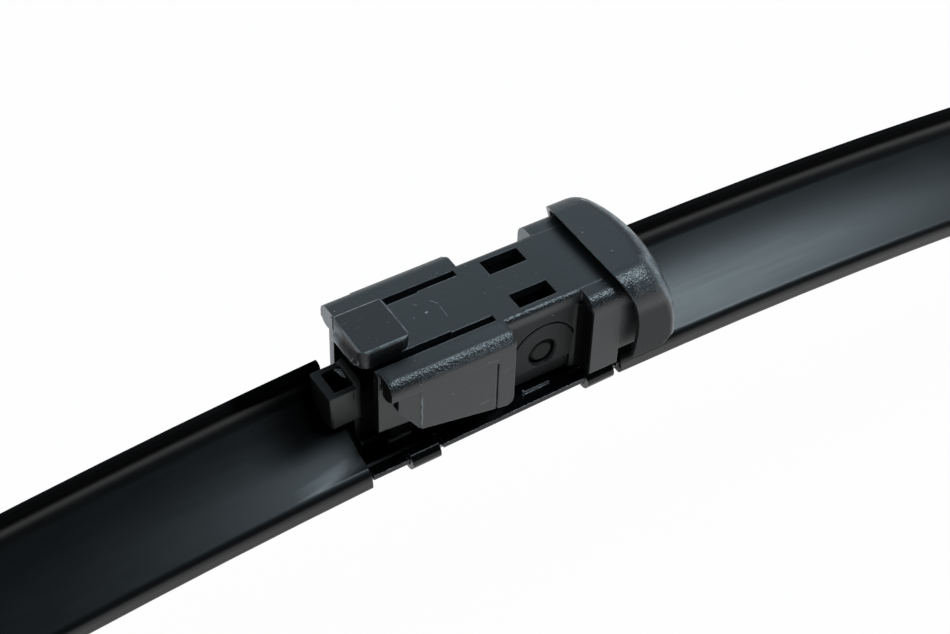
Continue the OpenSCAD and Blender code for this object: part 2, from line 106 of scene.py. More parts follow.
def angle_property(name, description, degrees):
    return FloatProperty(
        name=name, description=description, default=math.radians(degrees), unit="ROTATION"
    )


def rough_property(name, description, default):
    return FloatProperty(name=name, description=description, default=default, min=0, max=1)


def ior_property(description, default):
    return FloatProperty(name="IOR", description=description, default=default, min=1)


class WiperPlasticSettings(bpy.types.PropertyGroup):
    """Moulded plastic of the adapter, the button, the joint block and the end caps."""

    adapter_colour: colour_property("Adapter", "Colour of the adapter's plastic", srgb(30, 34, 37))
    button_colour: colour_property("Button", "Colour of the release button", srgb(30, 34, 37))
    block_colour: colour_property("Block", "Colour of the joint block", srgb(24, 27, 28))
    # Also the colour of the plastic's painted highlights and painted light
    dust_and_highlight_colour: colour_property("Dust", "Colour of dust and pale scuffs", srgb(196, 199, 202))
    rough: rough_property("Roughness", "Roughness of the plastic", 0.42)
    ior: ior_property("Refraction of the plastic, which sets its sheen", 1.6)
    grain: length_property("Grain", "Size of the moulded texture's grains", 0.22 * MM)
    grain_depth: length_property("Grain depth", "Depth of the moulded texture", 0.09 * MM)
    edge: length_property("Edge", "Radius that the moulded edges are rounded to", 0.14 * MM)


class WiperRubberSettings(bpy.types.PropertyGroup):
    """Rubber of the spoilers and the wiping element, and the caps' colour."""

    spoiler_colour: colour_property("Spoiler", "Colour of the spoilers", srgb(13, 14, 15))
    rubber_colour: colour_property("Wiping rubber", "Colour of the wiping element", srgb(18, 18, 19))
    cap_colour: colour_property("End cap", "Colour of the end caps", srgb(26, 27, 29))
    rough: rough_property("Roughness", "Roughness of the spoilers", 0.33)
    ior: ior_property("Refraction of the rubber, which sets its sheen", 1.5)
    # From this height up, the fin is painted shade: black and mirroring nothing
    painted_fin_shade_foot: length_property("Fin's foot", "Height above the pin from which the fin is matt", 2.4 * MM)
    streak: length_property("Streak", "Width of the extrusion's long streaks", 0.5 * MM)
    edge: length_property("Edge", "Radius that the profile's edges are rounded to", 0.12 * MM)


class WiperBowSettings(bpy.types.PropertyGroup):
    """Free bow of the blade, which its finish follows."""

    radius: length_property("Bow radius", "Radius of the free bow", 612 * MM)
    middle: FloatProperty(
        name="Middle", description="Place along the blade where the bow is level", default=-7.35 * MM,
        precision=5,
    )
    tilt: angle_property("Tilt", "Swivel of the blade on its pin", 1.9)


class WiperSteelSettings(bpy.types.PropertyGroup):
    """Painted and bare steel of the bracket, the pin and the strips."""

    paint_colour: colour_property("Paint", "Colour of the bracket's paint", srgb(9, 9, 10))
    pin_colour: colour_property("Pin", "Colour of the pivot pin", srgb(20, 21, 22))
    pin_rough: rough_property("Pin roughness", "Roughness of the pin's paint", 0.6)
    steel_colour: colour_property("Spring steel", "Colour of the bare strips", srgb(150, 152, 155))
    rough: rough_property("Roughness", "Roughness of the paint", 0.12)
    edge: length_property("Edge", "Radius that the sheet's edges are rounded to", 0.1 * MM)


class WiperStageSettings(bpy.types.PropertyGroup):
    """Camera, backdrop and lamps."""

    azimuth: angle_property("Azimuth", "Camera's turn round the blade", -33.14)
    elevation: angle_property("Elevation", "Camera's height angle", 44.43)
    roll: angle_property("Roll", "Camera's roll", 1.95)
    distance: length_property("Distance", "From the camera to the point it looks at", 0.25)
    look_at: FloatVectorProperty(
        name="Look at", description="Point the camera looks at", default=(-0.0036, 0.0037, -0.0003),
        subtype="XYZ", unit="LENGTH", precision=5,
    )
    lens: FloatProperty(name="Lens", description="Focal length in millimetres", default=78.48, min=1)
    floor_size: length_property("Floor", "Side of the square floor", 6)
    lamp_colour: colour_property("Lamps", "Colour of the two softboxes", (0.74, 0.91, 1.0))
    samples: IntProperty(name="Bevel samples", description="Rays of a soft edge", default=6, min=2, max=16)


def deselect_all():
    if bpy.context.object and bpy.context.object.mode != "OBJECT":
        bpy.ops.object.mode_set(mode="OBJECT")
    bpy.ops.object.select_all(action="DESELECT")


def make_active(piece):
    deselect_all()
    piece.select_set(True)
    bpy.context.view_layer.objects.active = piece


def apply_modifier(piece, name, kind, **settings):
    modifier = piece.modifiers.new(name, kind)
    for key, value in settings.items():
        setattr(modifier, key, value)
    make_active(piece)
    bpy.ops.object.modifier_apply(modifier=name)


def weigh_edges(piece, seam):
    """Weighs the sharp edges for a bevel, but for those in the plane at x = seam."""
    mesh = bmesh.new()
    mesh.from_mesh(piece.data)
    weight = mesh.edges.layers.float.new("bevel_weight_edge")
    for edge in mesh.edges:
        sharp = len(edge.link_faces) == 2 and edge.calc_face_angle(0) > CREASE
        in_seam = seam is not None and all(abs(corner.co.x - seam) < SEAM_REACH for corner in edge.verts)
        edge[weight] = 1.0 if sharp and not in_seam else 0.0
    mesh.to_mesh(piece.data)
    mesh.free()


def dressed_copy(node, edge=0, flat=0.3, seam=None):
    """Copy of a node that stands for it, with edges rounded to edge and faces joined that meet within
    flat degrees."""
    piece = frame["nodes"][node].copy()
    piece.data = piece.data.copy()
    for key in list(piece.keys()):
        del piece[key]
    piece.name = f"{node}_skin"
    piece.parent = None
    bpy.context.scene.collection.objects.link(piece)
    piece.data.materials.clear()
    make_active(piece)
    bpy.ops.object.mode_set(mode="EDIT")
    bpy.ops.mesh.select_all(action="SELECT")
    bpy.ops.mesh.remove_doubles(threshold=WELD)
    bpy.ops.mesh.dissolve_limited(angle_limit=math.radians(flat))
    bpy.ops.object.mode_set(mode="OBJECT")
    if edge:
        weigh_edges(piece, seam)
        apply_modifier(
            piece, "Edge", "BEVEL", width=edge, segments=2, limit_method="WEIGHT", use_clamp_overlap=True,
            miter_outer="MITER_ARC", harden_normals=False,
        )
    make_active(piece)
    bpy.ops.object.shade_smooth_by_angle(angle=CREASE)
    apply_modifier(piece, "Flat faces first", "WEIGHTED_NORMAL", mode="FACE_AREA", weight=100, keep_sharp=True)
    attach(piece, body_of_node[node])
    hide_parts(node)
    return piece


class Value:
    """A socket of a node tree, on which sums add Math nodes."""

    def __init__(self, nodes, socket):
        self.nodes = nodes
        self.socket = socket

    def sum(self, operation, *values):
        return self.nodes.node("ShaderNodeMath", {"operation": operation}, dict(enumerate(values)))

    def __add__(self, other):
        return self.sum("ADD", self, other)

    def __sub__(self, other):
        return self.sum("SUBTRACT", self, other)

    def __rsub__(self, other):
        return self.sum("SUBTRACT", other, self)

    def __mul__(self, other):
        return self.sum("MULTIPLY", self, other)

    def __abs__(self):
        return self.sum("ABSOLUTE", self)

    __radd__ = __add__
    __rmul__ = __mul__

    def most(self, *others):
        """The greatest of this and the others."""
        greatest = self
        for other in others:
            greatest = self.sum("MAXIMUM", greatest, other)
        return greatest

    def between(self, low, high):
        """0 below low, 1 above high and a smooth step between them."""
        settings = {"interpolation_type": "SMOOTHSTEP"}
        inputs = {"Value": self, "From Min": low, "From Max": high}
        return self.nodes.node("ShaderNodeMapRange", settings, inputs)

    def past(self, start, end):
        """The same between two lengths in millimetres."""
        return self.between(start * MM, end * MM)


class Nodes:
    """A node tree under construction."""

    def __init__(self, tree):
        self.tree = tree

    def node(self, kind, settings=None, inputs=None, output=0):
        made = self.tree.nodes.new(kind)
        for key, value in (settings or {}).items():
            if key == "stops":
                self.set_stops(made.color_ramp, value)
            else:
                setattr(made, key, value)
        for key, value in (inputs or {}).items():
            self.join(value, made.inputs[key])
        return Value(self, made.outputs[output])

    @staticmethod
    def set_stops(ramp, stops):
        while len(ramp.elements) < len(stops):
            ramp.elements.new(0.5)
        for element, (position, colour) in zip(ramp.elements, stops):
            element.position = position
            element.color = colour

    def join(self, value, socket):
        if isinstance(value, Value):
            self.tree.links.new(value.socket, socket)
        else:
            socket.default_value = value

    def mixed(self, factor, first, second, blend="MIX"):
        settings = {"data_type": "RGBA", "blend_type": blend}
        return self.node("ShaderNodeMix", settings, {"Factor": factor, 6: first, 7: second}, output=2)

    def dot(self, first, second):
        settings = {"operation": "DOT_PRODUCT"}
        return self.node("ShaderNodeVectorMath", settings, {0: first, 1: second}, output="Value")

    def ray(self, kind):
        """1 for a camera, glossy or transmission ray."""
        return self.node("ShaderNodeLightPath", output=f"Is {kind} Ray")

    def show_mix(self, factor, first, second):
        """Shows a mix of two shaders at the tree's output."""
        mix = self.node("ShaderNodeMixShader", inputs={0: factor, 1: first, 2: second})
        output = next(node for node in self.tree.nodes if node.type.startswith("OUTPUT"))
        self.join(mix, output.inputs["Surface"])


class Finish(Nodes):
    """A material under construction."""

    def __init__(self, name):
        self.material = bpy.data.materials.new(name)
        self.material.use_nodes = True
        super().__init__(self.material.node_tree)
        self.shader = self.tree.nodes["Principled BSDF"]
        self.place = self.node("ShaderNodeTexCoord", output="Object")

    def set(self, **values):
        """Sets the shader's sockets, whose names are given with _ for a space."""
        for key, value in values.items():
            name = key.replace("_", " ")
            self.join(value, self.shader.inputs[name.replace("ior", "IOR")])

    def show_over(self, factor, kind, colour):
        """Shows a plain shader of one colour over the material's own, by a factor."""
        plain = self.node(kind, inputs={"Color": colour})
        self.show_mix(factor, Value(self, self.shader.outputs["BSDF"]), plain)

    def dull(self, factor):
        """Mixes in a dead black, which mirrors nothing."""
        self.show_over(factor, "ShaderNodeBsdfDiffuse", BLACK)

    def shaded(self, factor, colour, dark, pale):
        """The colour times a number that runs from dark to pale."""
        return self.mixed(factor, [c * dark for c in colour] + [1], [c * pale for c in colour] + [1])

    def stretched(self, x, y, z, turn=0):
        """Object coordinates, turned about Z and scaled along each axis."""
        inputs = {"Vector": self.place, "Scale": (x, y, z), "Rotation": (0, 0, turn)}
        return self.node("ShaderNodeMapping", inputs=inputs)

    def noise(self, size, detail=2, rough=0.5, where=None):
        """Noise from 0 to 1 whose features measure size."""
        inputs = {"Vector": where or self.place, "Scale": 1 / size, "Detail": detail, "Roughness": rough}
        return self.node("ShaderNodeTexNoise", inputs=inputs)

    def cells(self, size):
        """Distance from the nearest of points that lie about size apart, where size counts as 1."""
        inputs = {"Vector": self.place, "Scale": 1 / size}
        return self.node("ShaderNodeTexVoronoi", inputs=inputs, output="Distance")

    def axis(self, name):
        """One of the object coordinates X, Y and Z."""
        return self.node("ShaderNodeSeparateXYZ", inputs={0: self.place}, output=name)

    def blade_height(self):
        """Height above the pin, measured along the bowed and tilted blade."""
        bow = bpy.context.scene.wiper_bow
        along = self.axis("X")
        drop = (along - bow.middle) * (along - bow.middle) * (0.5 / bow.radius)
        return self.axis("Z") - along * math.tan(bow.tilt) + drop

    def surface_normal(self):
        return self.node("ShaderNodeNewGeometry", output="Normal")

    def facing(self, name):
        """Part of the surface's normal along X, Y or Z."""
        return self.node("ShaderNodeSeparateXYZ", inputs={0: self.surface_normal()}, output=name)

    def line(self, start, end, width, axes="XY", near=None):
        """1 on a straight mark between two places given along two axes, on what lies nearer than near."""
        start, end = Vector(start) * MM, Vector(end) * MM
        width = width * MM
        middle, turn = (start + end) / 2, (end - start).normalized()
        first, second = (self.axis(name) - place for name, place in zip(axes, middle))
        across = second * turn.x - first * turn.y + (self.noise(0.7 * MM) - 0.5) * (width * 1.5)
        along = first * turn.x + second * turn.y
        reach = (end - start).length / 2
        mark = (1 - abs(across).between(width * 0.3, width)) * (
            1 - abs(along).between(reach * 0.7, reach)
        )
        if near is not None:
            mark = mark * (1 - self.axis("Y").past(near - 0.1, near))
        return mark

    def bump(self, height, distance, strength, normal):
        inputs = {"Height": height, "Distance": distance, "Strength": strength, "Normal": normal}
        return self.node("ShaderNodeBump", inputs=inputs)

    def soft_edge(self, radius):
        """Normal that turns smoothly over an edge."""
        settings = {"samples": bpy.context.scene.wiper_stage.samples}
        return self.node("ShaderNodeBevel", settings, {"Radius": radius})

    def edge_mask(self, soft):
        """1 where a soft edge's normal leaves the surface's own."""
        return (1 - self.dot(soft, self.surface_normal())).between(0.01, 0.12)


def plastic_finish(name, colour, dust=1.0, edge_wear_and_highlight=1.0, seam=None, marks_and_highlights=(), zones=None):
    """Moulded plastic with an eroded grain, faint scuffs, dust and pale edges that are a painted highlight.

    zones gives the painted shade (and the block's one dark line), the painted light and what is polished, each
    from 0 to 1, and the normal.
    """
    plastic = bpy.context.scene.wiper_plastic
    finish = Finish(name)
    grain = finish.noise(plastic.grain, detail=2, rough=0.6)
    pits = finish.cells(plastic.grain * 1.3)
    cloud = finish.noise(6 * MM, detail=3)
    radius = plastic.edge * 1.7
    if seam is not None:
        radius = abs(finish.axis("X") - seam).past(0.05, 0.3) * radius
    normal = finish.soft_edge(radius)
    upward = finish.facing("Z")
    turning = upward.between(0.2, 0.5) * (1 - upward.between(0.93, 0.99))
    patchy = finish.noise(1.6 * MM, detail=3).between(0.35, 0.65)
    # Pale edges: a painted highlight
    edge = finish.edge_mask(normal) * (patchy * 0.7 + 0.3)
    scuff_lines = finish.noise(1, detail=2, where=finish.stretched(160, 5200, 900, turn=0.5))
    scuffs = scuff_lines.between(0.70, 0.76) * finish.noise(4 * MM).between(0.48, 0.68)
    speck_size = finish.noise(1.3 * MM, detail=0).between(0.5, 0.75)
    specks = (0.14 * speck_size - finish.cells(0.75 * MM)).between(0, 0.05)
    # pale holds real scuffs and dust, and the painted highlight on the edges
    pale = (scuffs * 0.3 + specks * 0.55) * dust + edge * (0.3 * edge_wear_and_highlight)
    for start, end, width, strength, axes, near in marks_and_highlights:
        pale = pale + finish.line(start, end, width, axes, near) * strength
    base = finish.shaded(cloud, colour, 0.88, 1.12)
    rough = cloud * 0.1 + grain * 0.14 + (plastic.rough - 0.12)
    if zones:
        painted_shade_and_dark_mark, painted_light, polished, normal = zones(finish, normal, patchy)
        # Painted shade: the colour goes to black, and a dead black is mixed in below
        base = finish.mixed(painted_shade_and_dark_mark, base, BLACK)
        rough = rough + painted_shade_and_dark_mark * 0.4 - polished * 0.17
        # Painted light: a paler colour where light falls
        pale = pale + painted_light
        finish.dull(painted_shade_and_dark_mark * 0.8)
    texture = (grain * 0.5 + pits * 0.5) * (turning * 0.8 + 0.2)
    finish.set(
        Base_Color=finish.mixed(pale, base, (*plastic.dust_and_highlight_colour, 1)),
        Roughness=rough,
        Normal=finish.bump(texture, plastic.grain_depth, 1.0, normal),
        ior=plastic.ior,
    )
    return finish.material


def adapter_zones(finish, soft, patchy):
    """Painted shade low on the walls, on the step, on the near left ends and low on the hood's side; painted
    light on the far ends, the hood's rim, the tops and the near panel; painted glitter on the near crests,
    which are polished and, on the wing, rounder."""
    along, across, height = (finish.axis(name) for name in "XYZ")
    to_right, upward = finish.facing("X"), finish.facing("Z")
    low = 1 - height.past(5.6, 6.6)
    past_wing = along.past(-6.5, -5.5)
    left = 1 - along.past(-20.6, -20.2)
    leftward = 1 - to_right.between(-0.95, -0.7)
    far = across.past(1.5, 3) * left + across.past(5.3, 5.8) * (1 - left)

    # Painted shade low on the walls past the wing, on the step's face, on the near left end and low on the
    # hood's near side
    walls = (1 - abs(across).past(6.2, 6.6)) * past_wing * low * 0.4
    step = along.past(4.3, 4.6) * (1 - along.past(5.25, 5.35)) * low
    near_end = left * leftward * (1 - across.past(0, 1.5))
    skirt = (1 - across.past(-9.3, -8.9)) * (1 - height.past(3.5, 5.5)) * 0.3
    skirt = skirt * (1 - to_right.between(0.1, 0.4))
    painted_shade_and_dark_mark = walls.most(step, near_end, skirt) * (1 - far * leftward)

    wing_crest = (1 - across.past(-5.6, -5.2)) * (1 - along.past(-5.7, -5.5)) * height.past(6.0, 6.6)
    round_crest = finish.soft_edge(wing_crest * 0.9 * MM)
    normal = finish.node(
        "ShaderNodeMix", {"data_type": "VECTOR"}, {"Factor": wing_crest, 4: soft, 5: round_crest}, output=1
    )

    near_crest = upward.between(0.35, 0.6) * (1 - upward.between(0.95, 0.995)) * height.past(5.6, 6.0)
    near_crest = near_crest * (1 - across.past(-5.3, -4.9))
    glitter = finish.noise(0.22 * MM, detail=1).between(0.48, 0.66) * 0.6 + 0.4
    wing_end = along.past(-17, -7) * (1 - along.past(-5.4, -5.2))
    hood = along.past(10.3, 10.8)
    # Painted glitter: a painted highlight on the near crests
    painted_glitter = near_crest * glitter * (wing_end * 0.14 + hood * 0.2 + 0.06)
    # Painted light: lighter tops and a lighter near panel
    wing_top = (1 - across.past(-5.6, -5.2)) * wing_end * upward.between(0.9, 0.97) * 0.03
    tops = along.past(3, 9) * height.past(4, 5) * 0.02 + wing_top
    panel = (1 - across.past(-7.7, -7.4)) * (1 - past_wing) * low * 0.02
    # Painted highlight along the hood's right rim
    rim = to_right.between(0.3, 0.5) * (1 - to_right.between(0.72, 0.85)) * along.past(11.5, 12)
    painted_light = far * leftward * 0.9 + rim * (patchy * 0.3 + 0.2) + painted_glitter + tops + panel
    return painted_shade_and_dark_mark, painted_light, near_crest, normal


def button_zones(finish, soft, patchy):
    """Painted shade over the pad, painted highlight on its rim, and painted light on its far left lip."""
    # Painted shade over the pad
    pad = finish.axis("Z").past(7.9, 8.2)
    upward = finish.facing("Z")
    # Painted highlight on the pad's rim
    rim = upward.between(0.3, 0.6) * (1 - upward.between(0.93, 0.98)) * pad * (patchy * 0.6 + 0.4)
    # Painted light on the far left lip
    lip = (1 - finish.axis("X").past(-23.5, -23.2)) * finish.axis("Y").past(0.2, 1.6)
    return pad * 0.16, lip * 0.9 + rim * 0.5, rim, soft


def block_zones(finish, soft, _patchy):
    """Painted shade behind the nose and on its left end and top; its near face has one short dark mark."""
    # Painted shade behind the nose
    behind = finish.axis("X").past(-23.6, -22.6)
    # A short dark mark on the near face
    mark = finish.line((-23.8, 2.9), (-23.8, 1.6), 0.07, "XZ", -2.3)
    # Painted shade on the nose's left end and top
    nose_end = (1 - finish.facing("X").between(-0.95, -0.7)) * 0.75
    nose_top = finish.facing("Z").between(0.9, 0.97) * (1 - behind) * 0.55
    return behind.most(mark, nose_end, nose_top), 0.0, 0.0, soft


def profile_finish(name, colour):
    """Extruded rubber: long faint streaks, a soft sheen, a fin in painted shade, some dust, a painted
    highlight along a ridge, and painted shade on the left end.
    """
    rubber = bpy.context.scene.wiper_rubber
    finish = Finish(name)
    along, across = finish.axis("X"), finish.axis("Y")
    streaks = finish.noise(rubber.streak, detail=2, where=finish.stretched(0.02, 1, 1))
    cloud = finish.noise(9 * MM, detail=3)
    fine = finish.noise(0.25 * MM, detail=2)
    specks = (finish.noise(3 * MM).between(0.55, 0.75) * 0.09 - finish.cells(1.5 * MM)).between(0, 0.03)
    # Painted shade: the fin turns black and mirrors nothing
    fin = finish.blade_height().between(rubber.painted_fin_shade_foot, rubber.painted_fin_shade_foot + 0.8 * MM)
    left_end = along.past(-38, -30) * (1 - along.past(-21, -20))
    # Painted shade on the left spoiler's end beside the bracket
    painted_shade_left_end = left_end * across.past(-4.6, -1.6) * (1 - across.past(3.5, 5.5))
    # Painted highlight along a ridge of the left spoiler's end
    painted_fold_highlight = left_end * (1 - abs(across - 6.2 * MM).past(0.1, 0.9))
    base = finish.mixed(fin, finish.shaded(cloud, colour, 0.85, 1.2), BLACK)
    soft = finish.soft_edge(rubber.edge * 1.5)
    finish.set(
        Base_Color=finish.mixed(specks * 0.3 + painted_fold_highlight * 0.05, base, RUBBER_DUST_AND_HIGHLIGHT),
        Roughness=streaks * 0.07 + cloud * 0.06 + (rubber.rough - 0.06) + fin * 0.3,
        Normal=finish.bump(streaks * 0.6 + fine * 0.25, 0.006 * MM, 0.5, soft),
        ior=rubber.ior,
    )
    # Painted shade: a dead black mixed over the fin and the left end
    finish.dull(fin * 0.85 + painted_shade_left_end * 0.9)
    return finish.material


def paint_finish(name, colour, rough, edge_wear_and_highlight=0.0):
    """Paint on steel, a little uneven, and rubbed to bare metal at the edges and on the small tabs."""
    steel = bpy.context.scene.wiper_steel
    finish = Finish(name)
    soft = finish.soft_edge(steel.edge * 1.6)
    smear = finish.noise(3.5 * MM, detail=4)
    patches = finish.noise(1.1 * MM, detail=4).between(0.35, 0.6) * 0.6 + 0.4
    side = abs(finish.axis("Y"))
    tabs = side.past(5.8, 5.9) * (1 - side.past(6.25, 6.3)) * finish.blade_height().past(-5.22, -5.15)
    rubbed = (finish.edge_mask(soft) * patches).most(tabs * 0.8) * edge_wear_and_highlight
    painted = finish.shaded(smear, colour, 1, 1.5)
    finish.set(
        Base_Color=finish.mixed(rubbed, painted, (*steel.steel_colour, 1)),
        Metallic=rubbed * 0.8,
        Roughness=smear * 0.12 + rubbed * 0.2 + (rough - 0.05),
        Normal=finish.bump(finish.noise(0.9 * MM, detail=2), 0.01 * MM, 0.3, soft),
        ior=1.4,
    )
    return finish.material


def bare_steel_finish(name, colour):
    """Rolled spring steel with fine lines along it."""
    finish = Finish(name)
    lines = finish.noise(0.15 * MM, detail=2, where=finish.stretched(0.02, 1, 1))
    finish.set(
        Base_Color=finish.shaded(lines, colour, 0.8, 1.1),
        Metallic=1.0,
        Roughness=lines * 0.15 + 0.3,
        Normal=finish.bump(lines, 0.004 * MM, 0.5, finish.surface_normal()),
    )
    return finish.material


def wiping_finish(name, colour):
    """Matt rubber with a graphite bloom."""
    finish = Finish(name)
    bloom = finish.noise(1.5 * MM, detail=4, rough=0.65)
    soft = finish.soft_edge(bpy.context.scene.wiper_rubber.edge)
    finish.set(
        Base_Color=finish.shaded(bloom, colour, 0.8, 1.5),
        Roughness=bloom * 0.15 + 0.55,
        Normal=finish.bump(finish.noise(0.3 * MM), 0.01 * MM, 0.4, soft),
    )
    return finish.material


def torn_finish(name):
    """Pale torn plastic, whitened in patches."""
    finish = Finish(name)
    whitened = finish.noise(0.35 * MM, detail=3).between(0.3, 0.5)
    finish.set(
        Base_Color=finish.mixed(whitened, (0.3, 0.3, 0.3, 1), (0.95, 0.95, 0.95, 1)), Roughness=0.5
    )
    return finish.material


def cover(piece, material):
    piece.data.materials.clear()
    piece.data.materials.append(material)


class WIPER_OT_adapter(bpy.types.Operator):
    """Dress the adapter and its release button"""

    bl_idname = "wiper.adapter"
    bl_label = "Adapter and Button"

    # Pale lines and painted highlights: both ends in millimetres along two axes, half the width, the strength,
    # the axes, and the Y that the marked face lies nearer than
    tongue_marks = (
        ((-12.7, 0.3), (-12.3, 0.4), 0.16, 0.8, "XY", None),
        ((-10.62, 0.66), (-10.7, -1.5), 0.06, 0.3, "XY", None),
        ((-11.2, 1.9), (-10.5, 0.9), 0.07, 0.35, "XY", None),
        ((-13.2, 2.3), (-12.8, 1.8), 0.06, 0.3, "XY", None),
        ((-14.3, 0.4), (-14.1, 0.2), 0.08, 0.4, "XY", None),
    )
    adapter_marks_and_highlight = (
        # A painted highlight along the near panel's crease
        ((-18.13, 4.5), (-18.13, -0.8), 0.1, 0.75, "XZ", -7.4),
        ((-0.6, -2.5), (0.5, -2.1), 0.12, 0.2, "XZ", -5.6),
        ((13.2, 6.9), (13.6, 6.1), 0.25, 0.5, "XY", None),
        ((10.9, -3.0), (11.15, -3.1), 0.08, 0.5, "XY", None),
    )

    def execute(self, context):
        plastic = context.scene.wiper_plastic
        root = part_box("release_button")[1].x
        adapter = plastic_finish(
            "Adapter plastic", plastic.adapter_colour, seam=root, marks_and_highlights=self.adapter_marks_and_highlight,
            zones=adapter_zones,
        )
        cover(dressed_copy("adapter", plastic.edge, seam=root), adapter)
        button = plastic_finish(
            "Button plastic", plastic.button_colour, edge_wear_and_highlight=1.7, seam=root, marks_and_highlights=self.tongue_marks,
            zones=button_zones,
        )
        cover(dressed_copy("release_button", plastic.edge, seam=root), button)
        return {"FINISHED"}


class WIPER_OT_joint(bpy.types.Operator):
    """Dress the joint block, the pivot pin and the bracket"""

    bl_idname = "wiper.joint"
    bl_label = "Joint and Bracket"

    # A painted highlight along the near edge of the block's foot, given as the adapter's pale lines are
    foot_highlight = (((-24.3, -3.0), (-20.6, -3.0), 0.12, 0.4, "XY", None),)
    # Middle and size of the step and of the flake, in metres
    step_place = (-18.9 * MM, -4.0 * MM, -5.62 * MM)
    step_size = (3.2 * MM, 1.2 * MM, 0.66 * MM)
    flake_place = (-23.5 * MM, 1.05 * MM, 2.75 * MM)
    flake_size = (0.7 * MM, 1.6 * MM, 1)
    flake_thickness = 0.08 * MM

    def execute(self, context):
        plastic = context.scene.wiper_plastic
        steel = context.scene.wiper_steel
        block = plastic_finish(
            "Block plastic", plastic.block_colour, dust=0.3, edge_wear_and_highlight=0.5, marks_and_highlights=self.foot_highlight,
            zones=block_zones,
        )
        cover(dressed_copy("joint_block", plastic.edge), block)
        pin = paint_finish("Pin paint", steel.pin_colour, steel.pin_rough)
        cover(dressed_copy("pivot_pin"), pin)
        bracket = paint_finish("Bracket paint", steel.paint_colour, steel.rough, edge_wear_and_highlight=0.9)
        cover(dressed_copy("bracket", steel.edge), bracket)
        # The step's pale edges are a painted highlight
        self.add_step(plastic_finish("Foot plastic", steel.pin_colour, edge_wear_and_highlight=1.8))
        self.add_flake(torn_finish("Torn plastic"))
        return {"FINISHED"}

    def add_step(self, material):
        """Low step beside the block, on the near side of its foot."""
        deselect_all()
        bpy.ops.mesh.primitive_cube_add(size=1, location=self.step_place)
        step = bpy.context.object
        step.name = "foot_step"
        step.scale = self.step_size
        step.rotation_euler.y = -bpy.context.scene.wiper_bow.tilt
        bpy.ops.object.transform_apply(location=True, rotation=True, scale=True)
        apply_modifier(step, "Edge", "BEVEL", width=0.12 * MM, segments=3, limit_method="ANGLE")
        bpy.ops.object.shade_smooth_by_angle(angle=CREASE)
        cover(step, material)
        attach(step, "blade")

    def add_flake(self, material):
        """Flake of torn plastic, left from moulding, in the nose's corner."""
        deselect_all()
        bpy.ops.mesh.primitive_grid_add(
            x_subdivisions=5, y_subdivisions=9, size=1, location=self.flake_place,
            rotation=(0.3, 0.2, 0.35),
        )
        flake = bpy.context.object
        flake.name = "torn_flake"
        flake.scale = self.flake_size
        bpy.ops.object.transform_apply(location=True, rotation=True, scale=True)
        bpy.ops.object.mode_set(mode="EDIT")
        bpy.ops.mesh.select_all(action="SELECT")
        bpy.ops.transform.vertex_random(offset=0.16 * MM, seed=3)
        bpy.ops.mesh.extrude_region_shrink_fatten(TRANSFORM_OT_shrink_fatten={"value": self.flake_thickness})
        bpy.ops.mesh.select_all(action="SELECT")
        bpy.ops.mesh.normals_make_consistent(inside=False)
        bpy.ops.object.mode_set(mode="OBJECT")
        cover(flake, material)
        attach(flake, "blade")


class WIPER_OT_blade(bpy.types.Operator):
    """Dress the spoilers, the end caps, the wiping rubber and the strips"""

    bl_idname = "wiper.blade"
    bl_label = "Blade"

    def execute(self, context):
        rubber = context.scene.wiper_rubber
        steel = context.scene.wiper_steel
        profile = profile_finish("Spoiler rubber", rubber.spoiler_colour)
        for node in ("spoiler_left", "spoiler_right"):
            cover(dressed_copy(node, flat=0.01), profile)
        cap = plastic_finish("Cap plastic", rubber.cap_colour, dust=0.3, edge_wear_and_highlight=0.3)
        for node in ("end_cap_left", "end_cap_right"):
            cover(dressed_copy(node), cap)
        wiping = wiping_finish("Wiping rubber", rubber.rubber_colour)
        cover(dressed_copy("wiper_rubber"), wiping)
        strip = bare_steel_finish("Spring steel", steel.steel_colour)
        for node in ("flexor_near", "flexor_far"):
            cover(dressed_copy(node), strip)
        return {"FINISHED"}


def add_lamp(name, place, long_side, size, power, colour):
    """Softbox at a place, aimed at the blade, with its first side along long_side."""
    deselect_all()
    bpy.ops.object.light_add(type="AREA", location=place)
    lamp = bpy.context.object
    lamp.name = name
    lamp.data.shape = "RECTANGLE"
    lamp.data.size, lamp.data.size_y = size
    lamp.data.energy = power
    lamp.data.color = colour
    back = Vector(place).normalized()
    first = Vector(long_side)
    first = (first - back * first.dot(back)).normalized()
    lamp.rotation_mode = "QUATERNION"
    lamp.rotation_quaternion = Matrix((first, back.cross(first), back)).transposed().to_quaternion()


def floor_material():
    """White floor, which the camera and reflections see near full white; the blade still shades it."""
    finish = Finish("Floor")
    finish.set(Base_Color=(0.88, 0.88, 0.88, 1), Roughness=0.9, Specular_IOR_Level=0.1)
    seen = finish.ray("Camera") + finish.ray("Glossy") + finish.ray("Transmission")
    finish.show_over(seen * FLOOR_GLOW, "ShaderNodeEmission", WHITE)
    return finish.material


def build_world():
    """Dim surroundings, paler low down and at the back; the camera sees white."""
    world = bpy.data.worlds.new("Studio")
    bpy.context.scene.world = world
    world.use_nodes = True
    sky = Nodes(world.node_tree)
    direction = sky.node("ShaderNodeTexCoord", output="Generated")

    def glow(towards, stops):
        return sky.node("ShaderNodeValToRGB", {"stops": stops}, {"Fac": sky.dot(direction, towards)})

    low = glow((-0.3, 0.55, -0.78), [(0.0, (0.035, 0.04, 0.044, 1)), (0.6, (0.95, 0.95, 0.95, 1))])
    back = glow((0.3, 0.85, 0.43), [(0.3, (0, 0, 0, 1)), (1.0, (0.25, 0.3, 0.33, 1))])
    dim = sky.tree.nodes["Background"]
    sky.join(sky.mixed(1.0, low, back, blend="ADD"), dim.inputs["Color"])
    white = sky.node("ShaderNodeBackground", inputs={"Color": WHITE})
    sky.show_mix(sky.ray("Camera"), Value(sky, dim.outputs["Background"]), white)


